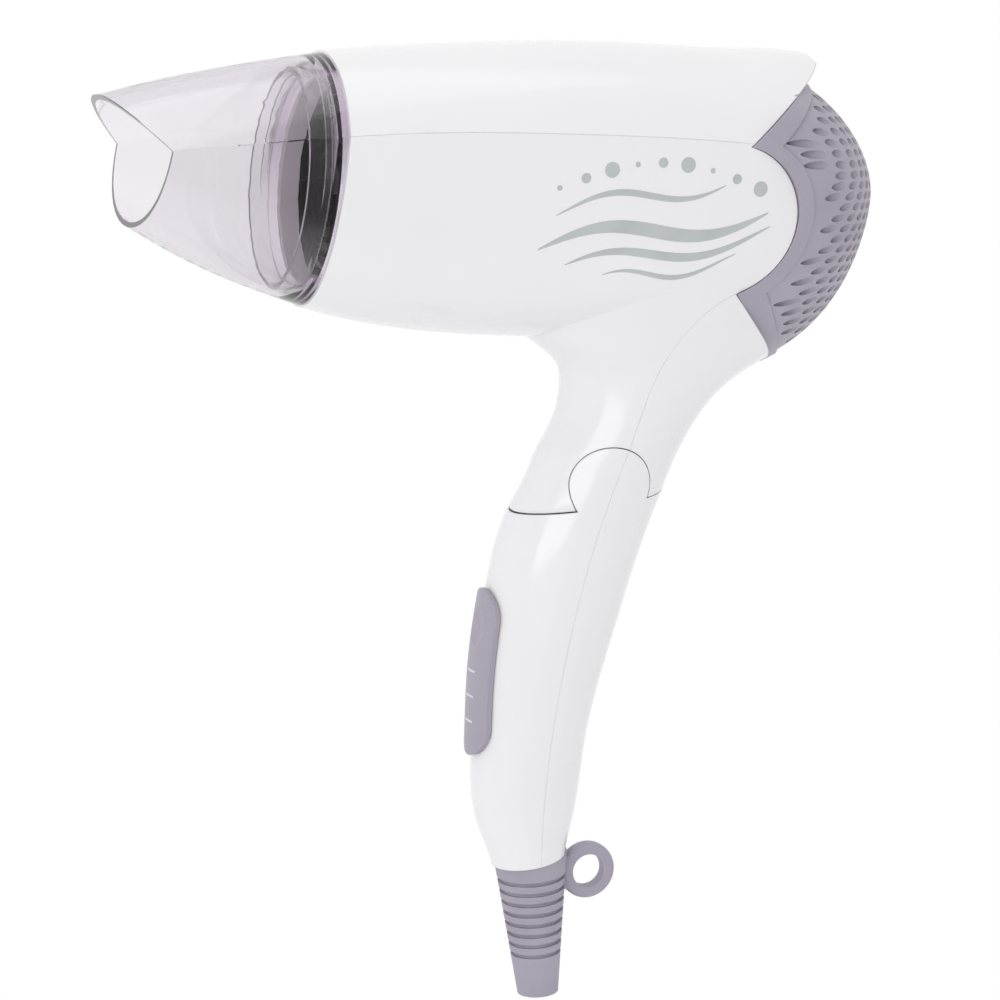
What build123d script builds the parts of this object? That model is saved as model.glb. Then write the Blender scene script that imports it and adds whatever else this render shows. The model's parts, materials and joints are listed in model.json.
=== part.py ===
# Folding hair dryer with a clear concentrator nozzle, as separate pieces.
# Millimetres: +X runs to the rear, +Z up, the dryer is symmetric about Y = 0,
# and the origin is the centre of the hang ring's hole.
from build123d import *
from build123d.topology.shape_core import SkipClean
import math
import os

# Head outline: x, half width at the ridge, ridge height, top height, bottom height
HEAD_STATIONS = [
    (-132.5, 32.0, 197.0, 210.8, 182.4),
    (-118.0, 32.2, 197.7, 214.1, 173.8),
    (-104.0, 32.7, 198.6, 216.9, 166.2),
    (-90.0, 33.2, 199.6, 219.2, 160.2),
    (-76.0, 33.8, 200.6, 221.1, 155.4),
    (-50.0, 35.2, 201.4, 223.0, 149.9),
    (-20.0, 36.2, 200.8, 223.9, 147.2),
    (12.0, 36.2, 199.3, 223.5, 146.0),
    (40.0, 35.0, 196.8, 222.2, 146.0),
    (68.0, 31.5, 193.0, 219.0, 149.0),
]
HEAD_FULLNESS = 0.56

# Handle outline: height, front edge, rear edge, half width
HANDLE_STATIONS = [
    (2.0, -27.0, -6.6, 10.6),
    (17.0, -31.5, -5.0, 13.4),
    (34.0, -32.7, -2.3, 15.2),
    (50.0, -32.1, 1.0, 16.2),
    (66.0, -30.7, 6.0, 16.8),
    (85.0, -27.4, 12.3, 17.0),
    (101.5, -21.6, 18.7, 17.0),
    (110.0, -16.7, 22.2, 17.2),
    (119.0, -12.2, 26.6, 17.8),
    (128.0, -8.1, 33.0, 18.6),
    (135.0, -7.3, 41.4, 19.4),
    (141.0, -9.8, 53.0, 20.6),
    (147.0, -17.5, 62.0, 22.0),
    (156.0, -20.0, 64.0, 24.2),
    (166.0, -18.0, 64.0, 25.4),
]
WALL = 2.2

# Front joint between nozzle and head, a plane leaning back at the top
RING_CENTRE = (-76.9, 0.0, 188.8)
RING_LEAN = 5.7
NOZZLE_GAP = 0.3
NOZZLE_INSET = 0.5
NOZZLE_WALL = 1.5
NOZZLE_BASE = 2.4
COLLAR_R = 28.0
COLLAR_WALL = 1.4
COLLAR_IN = 6.0
COLLAR_OUT = 8.0
RIB_R = 30.2
RIB_WALL = 0.9
RIB_OUT = 4.6
LIP_TOP = (-131.0, 210.6)
LIP_KINK = (-119.2, 197.5)
LIP_BOTTOM = (-123.6, 178.0)
LIP_OVER = (4.0, 20.0)
LIP_UNDER = (8.0, 30.0)

# Outlet ring in the barrel's mouth and the guard inside it
OUTLET_R = 29.4
OUTLET_BORE = 28.3
OUTLET_DEPTH = 9.0
OUTLET_PLATE = (-3.0, -0.6)
OUTLET_SEAT_R = 24.8
OUTLET_SEAT_T = 2.0
GUARD_R = 26.3
GUARD_T = 2.0
GUARD_RIM = 2.0
GUARD_RINGS = 5
GUARD_BAR = 1.0
GUARD_SPOKE = 1.4

# Rear edge of the shells, seen from the side
EDGE_TIP = (58.5, 218.0)
EDGE_SHOULDER = (52.5, 213.6)
EDGE_UPPER = (30.0, 197.0)
EDGE_NOSE = (45.0, 178.6)
EDGE_LOWER = (31.5, 158.6)
EDGE_BOTTOM = (51.0, 136.0)
EDGE_GAP = 0.3

# Parting line of the front and rear shells, from the cord end up to the head
PARTING = [
    (-16.6, -2.0), (-17.8, 17.0), (-17.0, 34.0), (-15.0, 50.0), (-7.2, 85.0),
    (-1.2, 103.0), (4.6, 118.0), (9.2, 131.0), (19.5, 150.0), EDGE_LOWER,
]

# Intake dome
DOME_CENTRE = (30.0, 0.0, 178.0)
DOME_RADII = (48.5, 35.6, 43.0)
DOME_SHARES = (-0.25, 0.05, 0.3, 0.52, 0.7, 0.84, 0.93, 0.98, 0.998)
DOME_RIDGE = 15.0
DOME_SQUARENESS = 2.6
DOME_CROWN = 0.55
DOME_KEEL = 0.35
DOME_WALL = 1.9
DOME_STRIP_ROWS = 4
DOME_STEPS = 100
CROWN_POWER = 2.0
KEEL_POWER = 1.5
FRAME_PROUD = 0.7
FRAME_DEPTH = 4.2
FRAME_WIDTH = 4.6
NOTCH_SPREAD = 4.0
FLANGE_INSET = 3.4
FLANGE_REACH = 4.0
FLANGE_T = 0.6
HOLE_R = 1.06
HOLE_PITCH = 2.8
HOLE_MARGIN = 0.8

# Fold joint
HINGE = (0.5, 107.5)
FOLD_Z = 103.0
FOLD_TILT = 6.8
FOLD_GAP = 0.25
LOBE_R = 11.0
CHEEK_Y = 10.6
NECK_CAVITY_Y = 7.9
NECK_CAVITY_TOP = 123.0
NECK_POST_TOP = 140.0
POCKET_RADIAL = 23.4
POCKET_SIDE = 17.4
POCKET_BEHIND = 5.5
POCKET_WIDE_BEHIND = 2.5
NOSE_GAP = 0.3
NOSE_TOP = 116.0
PIN_R = 3.0
PIN_HALF = 14.8
PIN_FIT = 0.04
PIN_ROOM = 0.2
WASHER_R = 6.5
WASHER_T = 1.0

# Cord end of the grip
GRIP_END_FRONT = (-27.1, 3.6)
GRIP_END_TILT = 10.1
GRIP_CAVITY_LOW = 9.0
GRIP_CAVITY_TOP = 95.0
RELIEF_TOP = (-16.5, 7.0)
RELIEF_TIP = (-14.1, -33.0)
RELIEF_R_TOP = 10.1
RELIEF_R_TIP = 5.6
RELIEF_PLAIN_TOP = 6.5
RELIEF_PLAIN_TIP = 12.5
RELIEF_GROOVES = 8
GROOVE_W = 1.15
GROOVE_DEPTH = 1.0
GROOVE_ROOM = 3.0
CORD_BORE_R = 3.3
CLAMP_BORE_R = 4.0
CLAMP_DEPTH = 7.0
BORE_ROOM = 2.0
PLUG_R = 6.5
PLUG_UP = 6.0
PLUG_FIT = 0.1
RING_R = 7.8
RING_HOLE_R = 4.6
RING_T = 3.8
RING_ROUND = 1.2
RING_WEB = (6.0, 3.4, 9.0)

# Switch on the front of the grip
SWITCH_MID_Z = 57.8
SWITCH_LENGTH = 45.0
SWITCH_WIDTH = 16.4
SWITCH_PROUD = 1.8
SWITCH_GAP = 0.4
SWITCH_TRAVEL = 8.0
SLIDE_LEAN = 7.0
DIMPLE_RADII = (2.2, 7.5, 6.6)
DIMPLE_DEPTH = 0.85
DIMPLE_DOWN = 8.5
STEM_SIZE = (8.0, 5.0, 8.0)
STEM_X = -28.2
STEM_ROOM = 1.2
SWITCH_BODY = (9.0, 12.0, 30.0)
SWITCH_BODY_X = -19.5

# Air path
AXIS_Z = 184.0
DUCT_R = 31.0
DUCT_WALL = 1.6
DUCT_X = (-3.0, 24.0)
SLEEVE_WALL = 1.8
SLEEVE_SHORT = 4.0
STRUTS = 6
STRUT_LENGTH = 12.0
MOTOR_R = 13.5
MOTOR_BOSS_R = 4.0
MOTOR_BOSS_T = 2.0
MOTOR_X = (-1.0, 24.0)
SHAFT_R = 1.15
SHAFT_TAIL = 3.5
SHAFT_NOSE = 0.5
FAN_R = 27.6
FAN_HUB_R = 9.0
FAN_X = (29.5, 39.5)
FAN_BLADES = 7
BLADE_T = 1.4
BLADE_CHORD = 14.0
BLADE_PITCH = 38.0
BLADE_ROOT = 1.0
BLADE_INSET = 0.3
HEAT_TUBE_R = 26.4
HEAT_TUBE_WALL = 0.8
HEATER_X = (-64.0, -8.0)
MICA_T = 0.9
MICA_GAP = 0.4
COIL_TURNS = 9
COIL_REACH = 22.0
COIL_WIRE_R = 0.7
COIL_BEND = 3.0
COIL_END = 4.0

# Screws
SCREW_R = 1.5
SCREW_HEAD_R = 2.9
SCREW_HEAD_T = 1.8
SCREW_BOSS_R = 4.2
SCREW_LENGTH = 16.0
SCREW_SLOT = (1.4, 4.0, 0.8)
SCREW_ACCESS = 20.0
SCREW_SUNK = 3.0
GRIP_SCREWS_Z = (25.0, 78.0)
NECK_SCREW_Z = 127.0

SIDE = 100.0
SLICE = 0.05


def prism(wire_edges, half=SIDE):
    """Solid through the whole width from a closed outline in X and Z."""
    edges = [edge for line in wire_edges for edge in line.edges()]
    return extrude(Plane.XZ * make_face(edges), amount=half, both=True)


def polygon_prism(points, half=SIDE):
    """Solid through the whole width from corner points in X and Z."""
    return prism([Polyline(*points, close=True)], half)


def head_section(x, width, ridge, top, bottom, inset):
    """Head outline at one station: a crown arc and two lower quarters."""
    plane = Plane(origin=(x, 0, 0), x_dir=(0, 1, 0), z_dir=(1, 0, 0))
    w = width - inset
    low = bottom + inset
    k = HEAD_FULLNESS
    crown = ThreePointArc((w, ridge), (0, top - inset), (-w, ridge))
    depth = ridge - low
    left = Bezier((-w, ridge), (-w, ridge - k * depth), (-k * w, low), (0, low))
    right = Bezier((0, low), (k * w, low), (w, ridge - k * depth), (w, ridge))
    return plane * make_face([crown, left, right])


def head_loft(inset=0.0):
    """Smooth body of the nozzle and barrel, drawn in by an inset."""
    return loft([head_section(*station, inset) for station in HEAD_STATIONS])


def handle_section(z, front, rear, width, inset):
    """Oval of the handle at one height."""
    centre = (front + rear) / 2
    oval = Ellipse((rear - front) / 2 - inset, width - inset)
    return Plane(origin=(centre, 0, z)) * oval


def handle_loft(inset=0.0):
    """Smooth body of the grip and neck, drawn in by an inset."""
    return loft([handle_section(*station, inset) for station in HANDLE_STATIONS])


def ring_plane(forward=0.0):
    """Plane of the nozzle joint, with its normal along the outgoing air."""
    lean = math.radians(RING_LEAN)
    normal = Vector(-math.cos(lean), 0, math.sin(lean))
    origin = Vector(*RING_CENTRE) + normal * forward
    return Plane(origin=origin, x_dir=(0, 1, 0), z_dir=normal)


def ring_tube(outer, inner, start, stop):
    """Tube about the nozzle axis between two distances from the joint."""
    face = Circle(outer) - Circle(inner) if inner else Circle(outer)
    return extrude(ring_plane(start) * face, amount=stop - start)


def ahead_of_ring(forward):
    """Everything on the nozzle's side of the joint."""
    return extrude(ring_plane(forward) * Rectangle(2 * SIDE, 2 * SIDE), amount=2 * SIDE)


def edge_outline(shift, spread):
    """Closed outline of everything behind the shells' rear edge."""
    far = 2 * SIDE
    tip = (EDGE_TIP[0] + shift, EDGE_TIP[1])
    upper = (EDGE_UPPER[0] + shift + spread, EDGE_UPPER[1])
    nose = (EDGE_NOSE[0] + shift, EDGE_NOSE[1])
    lower = (EDGE_LOWER[0] + shift + spread, EDGE_LOWER[1])
    bottom = (EDGE_BOTTOM[0] + shift, EDGE_BOTTOM[1])
    shoulder = (EDGE_SHOULDER[0] + shift, EDGE_SHOULDER[1])
    crest = (tip[0], EDGE_TIP[1] + SIDE)
    foot = (bottom[0], EDGE_BOTTOM[1] - SIDE)
    return [
        Polyline(crest, tip, shoulder, upper),
        ThreePointArc(upper, nose, lower),
        Polyline(lower, bottom, foot, (far, foot[1]), (far, crest[1]), crest),
    ]


def edge_x(z, shift, spread):
    """Rear edge of the shells at one height, moved back as its outline is."""
    upper = EDGE_UPPER[0] + spread
    lower = EDGE_LOWER[0] + spread
    if z >= EDGE_UPPER[1]:
        share = (z - EDGE_UPPER[1]) / (EDGE_SHOULDER[1] - EDGE_UPPER[1])
        return shift + upper + share * (EDGE_SHOULDER[0] - upper)
    if z <= EDGE_LOWER[1]:
        share = (EDGE_LOWER[1] - z) / (EDGE_LOWER[1] - EDGE_BOTTOM[1])
        return shift + lower + share * (EDGE_BOTTOM[0] - lower)
    share = (z - EDGE_LOWER[1]) / (EDGE_UPPER[1] - EDGE_LOWER[1])
    bulge = EDGE_NOSE[0] - (upper + lower) / 2
    return shift + lower + share * (upper - lower) + 4 * bulge * share * (1 - share)


def behind_edge(shift=0.0, spread=0.0):
    """Everything behind the shells' rear edge, moved back by a shift, more at the notches."""
    return prism(edge_outline(shift, spread))


def behind_parting():
    """Everything behind the parting line of the front and rear shells."""
    top = PARTING[-1]
    foot = PARTING[0]
    far = 2 * SIDE
    return prism([Spline(*PARTING), Polyline(top, (far, top[1]), (far, foot[1]), foot)])


def above_ridge():
    """Everything above the ridge line of the head."""
    points = [(station[0], station[2]) for station in HEAD_STATIONS[3:]]
    high = 4 * SIDE
    closing = Polyline(points[-1], (points[-1][0], high), (points[0][0], high), points[0])
    return prism([Spline(*points), closing])


def cross_cylinder(radius, y_from, y_to, centre=HINGE):
    """Cylinder along Y about a point in X and Z."""
    plane = Plane(origin=(centre[0], y_from, centre[1]), z_dir=(0, 1, 0))
    return extrude(plane * Circle(radius), amount=y_to - y_from)


def both_sides(radius, y_from, y_to, centre=HINGE):
    """A pair of cylinders along Y, mirrored about the middle plane."""
    near = cross_cylinder(radius, y_from, y_to, centre)
    return near + cross_cylinder(radius, -y_to, -y_from, centre)


def slab(z_from, z_to, y_half=SIDE, x_from=-2 * SIDE, x_to=2 * SIDE):
    """Box between two heights."""
    size = (x_to - x_from, 2 * y_half, z_to - z_from)
    return Pos((x_from + x_to) / 2, 0, (z_from + z_to) / 2) * Box(*size)


def above_plane(x, z, tilt):
    """Everything above a plane through a point, higher at the rear by a tilt."""
    plane = Plane(origin=(x, 0, z)).rotated((0, -tilt, 0))
    return extrude(plane * Rectangle(4 * SIDE, 4 * SIDE), amount=4 * SIDE)


def above_fold(gap):
    """Everything above the fold line, from a gap upwards."""
    return above_plane(HINGE[0], FOLD_Z + gap, FOLD_TILT)


def above_grip_end():
    """Everything above the cord end of the grip."""
    return above_plane(GRIP_END_FRONT[0], GRIP_END_FRONT[1], GRIP_END_TILT)


def hinge_ball(radial, sideways, y_half):
    """Round body about the hinge axis, flattened sideways and cut square."""
    upright = Rot(0, -90.0, 0) * Rot(90.0, 0, 0) * Sphere(1.0)
    ball = Pos(HINGE[0], 0, HINGE[1]) * scale(upright, by=(radial, sideways, radial))
    return ball & slab(0, 2 * SIDE, y_half)


def dome_size(share, inset):
    """Half width, ridge, top and bottom of the intake dome at a share of its reach."""
    rise = math.sqrt(1 - share ** 2)
    width = (DOME_RADII[1] - inset) * math.sqrt(1 - abs(share) ** DOME_SQUARENESS)
    half = (DOME_RADII[2] - inset) * rise
    middle = DOME_CENTRE[2]
    return width, middle + DOME_RIDGE * rise, middle + half, middle - half


def dome_section(share, inset):
    """Egg-shaped section of the intake dome, wide at the ridge."""
    x = DOME_CENTRE[0] + share * (DOME_RADII[0] - inset)
    w, ridge, top, low = dome_size(share, inset)
    plane = Plane(origin=(x, 0, 0), x_dir=(0, 1, 0), z_dir=(1, 0, 0))
    crown_w = DOME_CROWN * w
    crown_z = ridge + DOME_CROWN * (top - ridge)
    keel_w = DOME_KEEL * w
    keel_z = ridge - DOME_KEEL * (ridge - low)
    return plane * make_face([
        Bezier((w, ridge), (w, crown_z), (crown_w, top), (0, top)),
        Bezier((0, top), (-crown_w, top), (-w, crown_z), (-w, ridge)),
        Bezier((-w, ridge), (-w, keel_z), (-keel_w, low), (0, low)),
        Bezier((0, low), (keel_w, low), (w, keel_z), (w, ridge)),
    ])


def dome_body(inset):
    """The intake dome's full body, drawn in by an inset."""
    return loft([dome_section(share, inset) for share in DOME_SHARES])


def dome_x(y, z):
    """Rear face of the intake dome at a place across it, or None beside it."""
    found = None
    for step in range(DOME_STEPS):
        share = step / DOME_STEPS
        width, ridge, top, low = dome_size(share, 0.0)
        level = (z - ridge) / (top - ridge) if z > ridge else (ridge - z) / (ridge - low)
        power = CROWN_POWER if z > ridge else KEEL_POWER
        if level < 1 and abs(y) < width * (1 - level ** power) ** (1 / power):
            found = DOME_CENTRE[0] + share * DOME_RADII[0]
    return found


def axis_tube(outer, inner, x_from, x_to):
    """Tube along the air path's axis."""
    plane = Plane(origin=(x_from, 0, AXIS_Z), x_dir=(0, 1, 0), z_dir=(1, 0, 0))
    face = Circle(outer) - Circle(inner) if inner else Circle(outer)
    return extrude(plane * face, amount=x_to - x_from)


def screw(x_head, z):
    """Screw along X with its head to the rear."""
    plane = Plane(origin=(x_head, 0, z), x_dir=(0, 1, 0), z_dir=(-1, 0, 0))
    head = extrude(plane * Circle(SCREW_HEAD_R), amount=SCREW_HEAD_T)
    shank = extrude(plane * Circle(SCREW_R), amount=SCREW_LENGTH)
    slot = Pos(x_head, 0, z) * Box(*SCREW_SLOT)
    return head + shank - slot


def screw_space(x_head, z):
    """Clearance for a screw and the way in to its head."""
    plane = Plane(origin=(x_head + SCREW_ACCESS, 0, z), x_dir=(0, 1, 0), z_dir=(-1, 0, 0))
    way_in = extrude(plane * Circle(SCREW_HEAD_R + FOLD_GAP), amount=SCREW_ACCESS + SCREW_HEAD_T)
    hole = extrude(plane * Circle(SCREW_R + PIN_FIT), amount=SCREW_ACCESS + SCREW_LENGTH + FOLD_GAP)
    return way_in + hole


def screw_boss(z):
    """Post along X that takes a screw."""
    plane = Plane(origin=(-SIDE, 0, z), x_dir=(0, 1, 0), z_dir=(1, 0, 0))
    return extrude(plane * Circle(SCREW_BOSS_R), amount=2 * SIDE)


def rear_face_x(z):
    """Rear edge of the handle at one height."""
    for low, high in zip(HANDLE_STATIONS, HANDLE_STATIONS[1:]):
        if low[0] <= z <= high[0]:
            share = (z - low[0]) / (high[0] - low[0])
            return low[2] + share * (high[2] - low[2])
    return 0.0


def screw_head_x(z):
    """Face of a sunk screw head at one height."""
    return rear_face_x(z) - SCREW_SUNK


def slide_direction():
    """Way that the switch slides, down along the front of the grip."""
    lean = math.radians(SLIDE_LEAN)
    return Vector(-math.sin(lean), 0, -math.cos(lean))


def stadium(length, width, z_mid):
    """Long rounded block through the front half of the grip."""
    plane = Plane(origin=(-SIDE, 0, z_mid), x_dir=(0, 0, 1), z_dir=(1, 0, 0))
    return extrude(plane * SlotOverall(length, width), amount=SIDE + SWITCH_BODY_X)


def make_nozzle():
    """Clear concentrator with its inner collar and swallow-tailed lip."""
    ahead = ahead_of_ring(NOZZLE_GAP)
    skin = head_loft(NOZZLE_INSET) & ahead
    hollow = head_loft(NOZZLE_INSET + NOZZLE_WALL) & ahead_of_ring(NOZZLE_GAP + NOZZLE_BASE)
    bore = COLLAR_R - COLLAR_WALL
    collar = ring_tube(COLLAR_R, bore, -COLLAR_IN, COLLAR_OUT)
    rib = ring_tube(RIB_R, RIB_R - RIB_WALL, NOZZLE_GAP, RIB_OUT)
    way_in = ring_tube(bore, 0, 0, NOZZLE_GAP + 2 * NOZZLE_BASE)
    far = -2 * SIDE
    mouth = polygon_prism([
        (far, LIP_TOP[1] + LIP_OVER[1]), (LIP_TOP[0] - LIP_OVER[0], LIP_TOP[1] + LIP_OVER[1]), LIP_TOP,
        LIP_KINK, LIP_BOTTOM, (LIP_BOTTOM[0] - LIP_UNDER[0], LIP_BOTTOM[1] - LIP_UNDER[1]),
        (far, LIP_BOTTOM[1] - LIP_UNDER[1]),
    ])
    return (skin - hollow - way_in + collar + rib) - mouth


def make_shells():
    """Head shells: hollow body, cut at the joints and split along the seams."""
    body = head_loft() - ahead_of_ring(0.0)
    body += handle_loft() & above_fold(FOLD_GAP)
    bore = head_loft(WALL)
    neck_bore = handle_loft(WALL) & slab(NECK_CAVITY_TOP, 2 * SIDE)
    narrow = handle_loft(WALL) & slab(0, NECK_CAVITY_TOP, NECK_CAVITY_Y)
    boss = screw_boss(NECK_SCREW_Z) & body
    hollow = bore + neck_bore + narrow
    shell = body - hollow + (boss & neck_bore & slab(0, NECK_POST_TOP))
    shell -= behind_edge()
    shell -= both_sides(LOBE_R + FOLD_GAP, CHEEK_Y - FOLD_GAP, SIDE)
    nose = hinge_ball(POCKET_RADIAL - NOSE_GAP, POCKET_SIDE - NOSE_GAP, SIDE)
    shell -= slab(0, NOSE_TOP, SIDE, -SIDE, HINGE[0]) - nose
    shell -= cross_cylinder(PIN_R + PIN_FIT, -SIDE, SIDE)
    shell -= screw_space(screw_head_x(NECK_SCREW_Z), NECK_SCREW_Z)
    crown = above_ridge()
    back = behind_parting()
    top_cover = shell & crown
    lower = shell - crown
    return top_cover, lower - back, lower & back


def make_grip():
    """Grip shells with the fork cheeks of the fold joint."""
    body = handle_loft()
    lobes = body & both_sides(LOBE_R, CHEEK_Y, SIDE)
    column = (body & above_grip_end()) - above_fold(0.0)
    hollow = handle_loft(WALL) & slab(GRIP_CAVITY_LOW, GRIP_CAVITY_TOP)
    posts = screw_boss(GRIP_SCREWS_Z[0]) + screw_boss(GRIP_SCREWS_Z[1])
    shell = column - hollow + (posts & hollow) + lobes
    pocket = hinge_ball(POCKET_RADIAL, POCKET_SIDE, SIDE)
    wide = pocket & slab(0, 2 * SIDE, SIDE, -SIDE, HINGE[0] + POCKET_WIDE_BEHIND)
    shell -= wide - both_sides(LOBE_R, CHEEK_Y, SIDE)
    shell -= pocket & slab(0, 2 * SIDE, CHEEK_Y, -SIDE, HINGE[0] + POCKET_BEHIND)
    shell -= cross_cylinder(PIN_R + PIN_FIT, -PIN_HALF - PIN_ROOM, PIN_HALF + PIN_ROOM)
    for z in GRIP_SCREWS_Z:
        shell -= screw_space(screw_head_x(z), z)
    slot_size = (2 * STEM_SIZE[0], STEM_SIZE[1] + STEM_ROOM, STEM_SIZE[2] + SWITCH_TRAVEL + STEM_ROOM)
    shell -= Pos(STEM_X, 0, SWITCH_MID_Z - SWITCH_TRAVEL / 2) * Box(*slot_size)
    shell -= relief_plug(PLUG_FIT)
    back = behind_parting()
    return shell - back, shell & back


def relief_axis(distance):
    """Point on the strain relief's axis, measured down from its top."""
    top = Vector(RELIEF_TOP[0], 0, RELIEF_TOP[1])
    tip = Vector(RELIEF_TIP[0], 0, RELIEF_TIP[1])
    return top + (tip - top).normalized() * distance


def relief_plane(distance):
    """Plane across the strain relief, facing its tip."""
    top = Vector(RELIEF_TOP[0], 0, RELIEF_TOP[1])
    tip = Vector(RELIEF_TIP[0], 0, RELIEF_TIP[1])
    return Plane(origin=relief_axis(distance), x_dir=(0, 1, 0), z_dir=(tip - top))


def relief_plug(grow):
    """Neck of the strain relief that the grip shells hold."""
    return extrude(relief_plane(-PLUG_UP) * Circle(PLUG_R + grow), amount=2 * PLUG_UP)


def make_strain_relief():
    """Ribbed rubber sleeve with its hang ring."""
    top = Vector(RELIEF_TOP[0], 0, RELIEF_TOP[1])
    tip = Vector(RELIEF_TIP[0], 0, RELIEF_TIP[1])
    length = (tip - top).length
    grow = (RELIEF_R_TIP - RELIEF_R_TOP) / length
    start = relief_plane(0) * Circle(RELIEF_R_TOP)
    end = relief_plane(length) * Circle(RELIEF_R_TIP)
    sleeve = loft([start, end])
    ribbed = length - RELIEF_PLAIN_TOP - RELIEF_PLAIN_TIP
    pitch = ribbed / (RELIEF_GROOVES - 1)
    for index in range(RELIEF_GROOVES):
        at = RELIEF_PLAIN_TOP + index * pitch
        radius = RELIEF_R_TOP + grow * at
        ring = relief_plane(at) * (Circle(radius + GROOVE_ROOM) - Circle(radius - GROOVE_DEPTH))
        sleeve -= extrude(ring, amount=GROOVE_W)
    end = above_grip_end()
    sleeve -= end
    ring = cross_cylinder(RING_R, -RING_T / 2, RING_T / 2, (0, 0))
    ring = fillet(ring.edges().filter_by(GeomType.CIRCLE), RING_ROUND)
    web = Pos(-RING_R, 0, 0) * Box(*RING_WEB)
    body = sleeve + (web - end) + ring + relief_plug(0.0)
    body -= cross_cylinder(RING_HOLE_R, -RING_T, RING_T, (0, 0))
    above = PLUG_UP + BORE_ROOM
    clamp = extrude(relief_plane(-above) * Circle(CLAMP_BORE_R), amount=above + CLAMP_DEPTH)
    bore = extrude(relief_plane(0) * Circle(CORD_BORE_R), amount=length + BORE_ROOM)
    return body - clamp - bore


def make_frame():
    """Intake frame band with the flange that sits inside the shells."""
    inner = behind_edge(EDGE_GAP + FRAME_WIDTH, NOTCH_SPREAD)
    frame = (dome_body(-FRAME_PROUD) - dome_body(FRAME_DEPTH)) & (behind_edge(EDGE_GAP) - inner)
    inside = head_loft(WALL + EDGE_GAP) + handle_loft(WALL + EDGE_GAP)
    reach = behind_edge(-FLANGE_REACH) - inner
    flange = (dome_body(FLANGE_INSET) - dome_body(FRAME_DEPTH + FLANGE_T)) & reach & inside
    return frame + flange


def grille_holes(row):
    """Straight air holes of one row of the grille."""
    z = DOME_CENTRE[2] + row * HOLE_PITCH
    columns = int(DOME_RADII[1] / HOLE_PITCH)
    holes = []
    for column in range(-columns, columns + 1):
        y = column * HOLE_PITCH
        x = dome_x(abs(y) + HOLE_R, z)
        if x is None or x < edge_x(z, FRAME_WIDTH, NOTCH_SPREAD) + HOLE_MARGIN:
            continue
        plane = Plane(origin=(DOME_CENTRE[0], y, z), x_dir=(0, 1, 0), z_dir=(1, 0, 0))
        holes.append(extrude(plane * Circle(HOLE_R), amount=2 * DOME_RADII[0]))
    return holes


def make_grille():
    """Perforated dome, made in level strips of a few rows of holes each."""
    shell = dome_body(0.0) - dome_body(DOME_WALL)
    shell &= behind_edge(EDGE_GAP + FRAME_WIDTH, NOTCH_SPREAD)
    rows = int(DOME_RADII[2] / HOLE_PITCH) + DOME_STRIP_ROWS
    strips = []
    for first in range(-rows, rows, DOME_STRIP_ROWS):
        low = DOME_CENTRE[2] + (first - 0.5) * HOLE_PITCH
        strip = shell & slab(low, low + DOME_STRIP_ROWS * HOLE_PITCH)
        if not strip:
            continue
        holes = [hole for row in range(first, first + DOME_STRIP_ROWS) for hole in grille_holes(row)]
        strips.append(strip - holes if holes else strip)
    with SkipClean():
        grille = strips[0].fuse(*strips[1:])
    return grille


def make_switch():
    """Long thumb slider with its dimple and stem."""
    path = slide_direction()
    body = stadium(SWITCH_LENGTH, SWITCH_WIDTH, SWITCH_MID_Z)
    outside = handle_loft(-SWITCH_PROUD)
    cap = body & outside
    swept = handle_loft(-SWITCH_GAP)
    cap -= swept
    cap -= Location(-path * SWITCH_TRAVEL) * swept
    dimple_z = SWITCH_MID_Z + SWITCH_LENGTH / 2 - DIMPLE_DOWN
    front = (outside & slab(dimple_z - SLICE, dimple_z + SLICE)).bounding_box().min.X
    dimple = scale(Sphere(1.0), by=DIMPLE_RADII)
    cap -= Pos(front + DIMPLE_DEPTH - DIMPLE_RADII[0], 0, dimple_z) * dimple
    return cap + Pos(STEM_X, 0, SWITCH_MID_Z) * Box(*STEM_SIZE)


def make_fan():
    """Axial fan with pitched blades."""
    hub = axis_tube(FAN_HUB_R, SHAFT_R, *FAN_X)
    middle = (FAN_X[0] + FAN_X[1]) / 2
    limit = axis_tube(FAN_R, FAN_HUB_R - BLADE_ROOT, FAN_X[0] + BLADE_INSET, FAN_X[1] - BLADE_INSET)
    fan = hub
    for index in range(FAN_BLADES):
        blade = Pos(0, 0, FAN_R / 2) * Rot(0, 0, BLADE_PITCH) * Box(BLADE_T, BLADE_CHORD, FAN_R)
        spin = Pos(middle, 0, AXIS_Z) * Rot(index * 360.0 / FAN_BLADES, 0, 0)
        fan += spin * blade & limit
    return fan


def make_duct():
    """Fan duct with the sleeve and struts that carry the motor."""
    duct = axis_tube(DUCT_R, DUCT_R - DUCT_WALL, *DUCT_X)
    sleeve_x = (MOTOR_X[0] + SLEEVE_SHORT, MOTOR_X[1] - SLEEVE_SHORT)
    sleeve = axis_tube(MOTOR_R + SLEEVE_WALL, MOTOR_R + PIN_FIT, *sleeve_x)
    inner = MOTOR_R + SLEEVE_WALL / 2
    reach = DUCT_R - DUCT_WALL / 2 - inner
    for index in range(STRUTS):
        spin = Pos(sum(MOTOR_X) / 2, 0, AXIS_Z) * Rot((index + 0.5) * 360.0 / STRUTS, 0, 0)
        duct += spin * Pos(0, 0, inner + reach / 2) * Box(STRUT_LENGTH, DUCT_WALL, reach)
    return duct + sleeve


def make_motor():
    """Motor can with its bearing boss."""
    can = axis_tube(MOTOR_R, SHAFT_R + PIN_FIT, *MOTOR_X)
    boss = axis_tube(MOTOR_BOSS_R, SHAFT_R + PIN_FIT, MOTOR_X[1], MOTOR_X[1] + MOTOR_BOSS_T)
    tail = axis_tube(MOTOR_BOSS_R, SHAFT_R + PIN_FIT, MOTOR_X[0] - MOTOR_BOSS_T, MOTOR_X[0])
    return can + boss + tail


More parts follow.
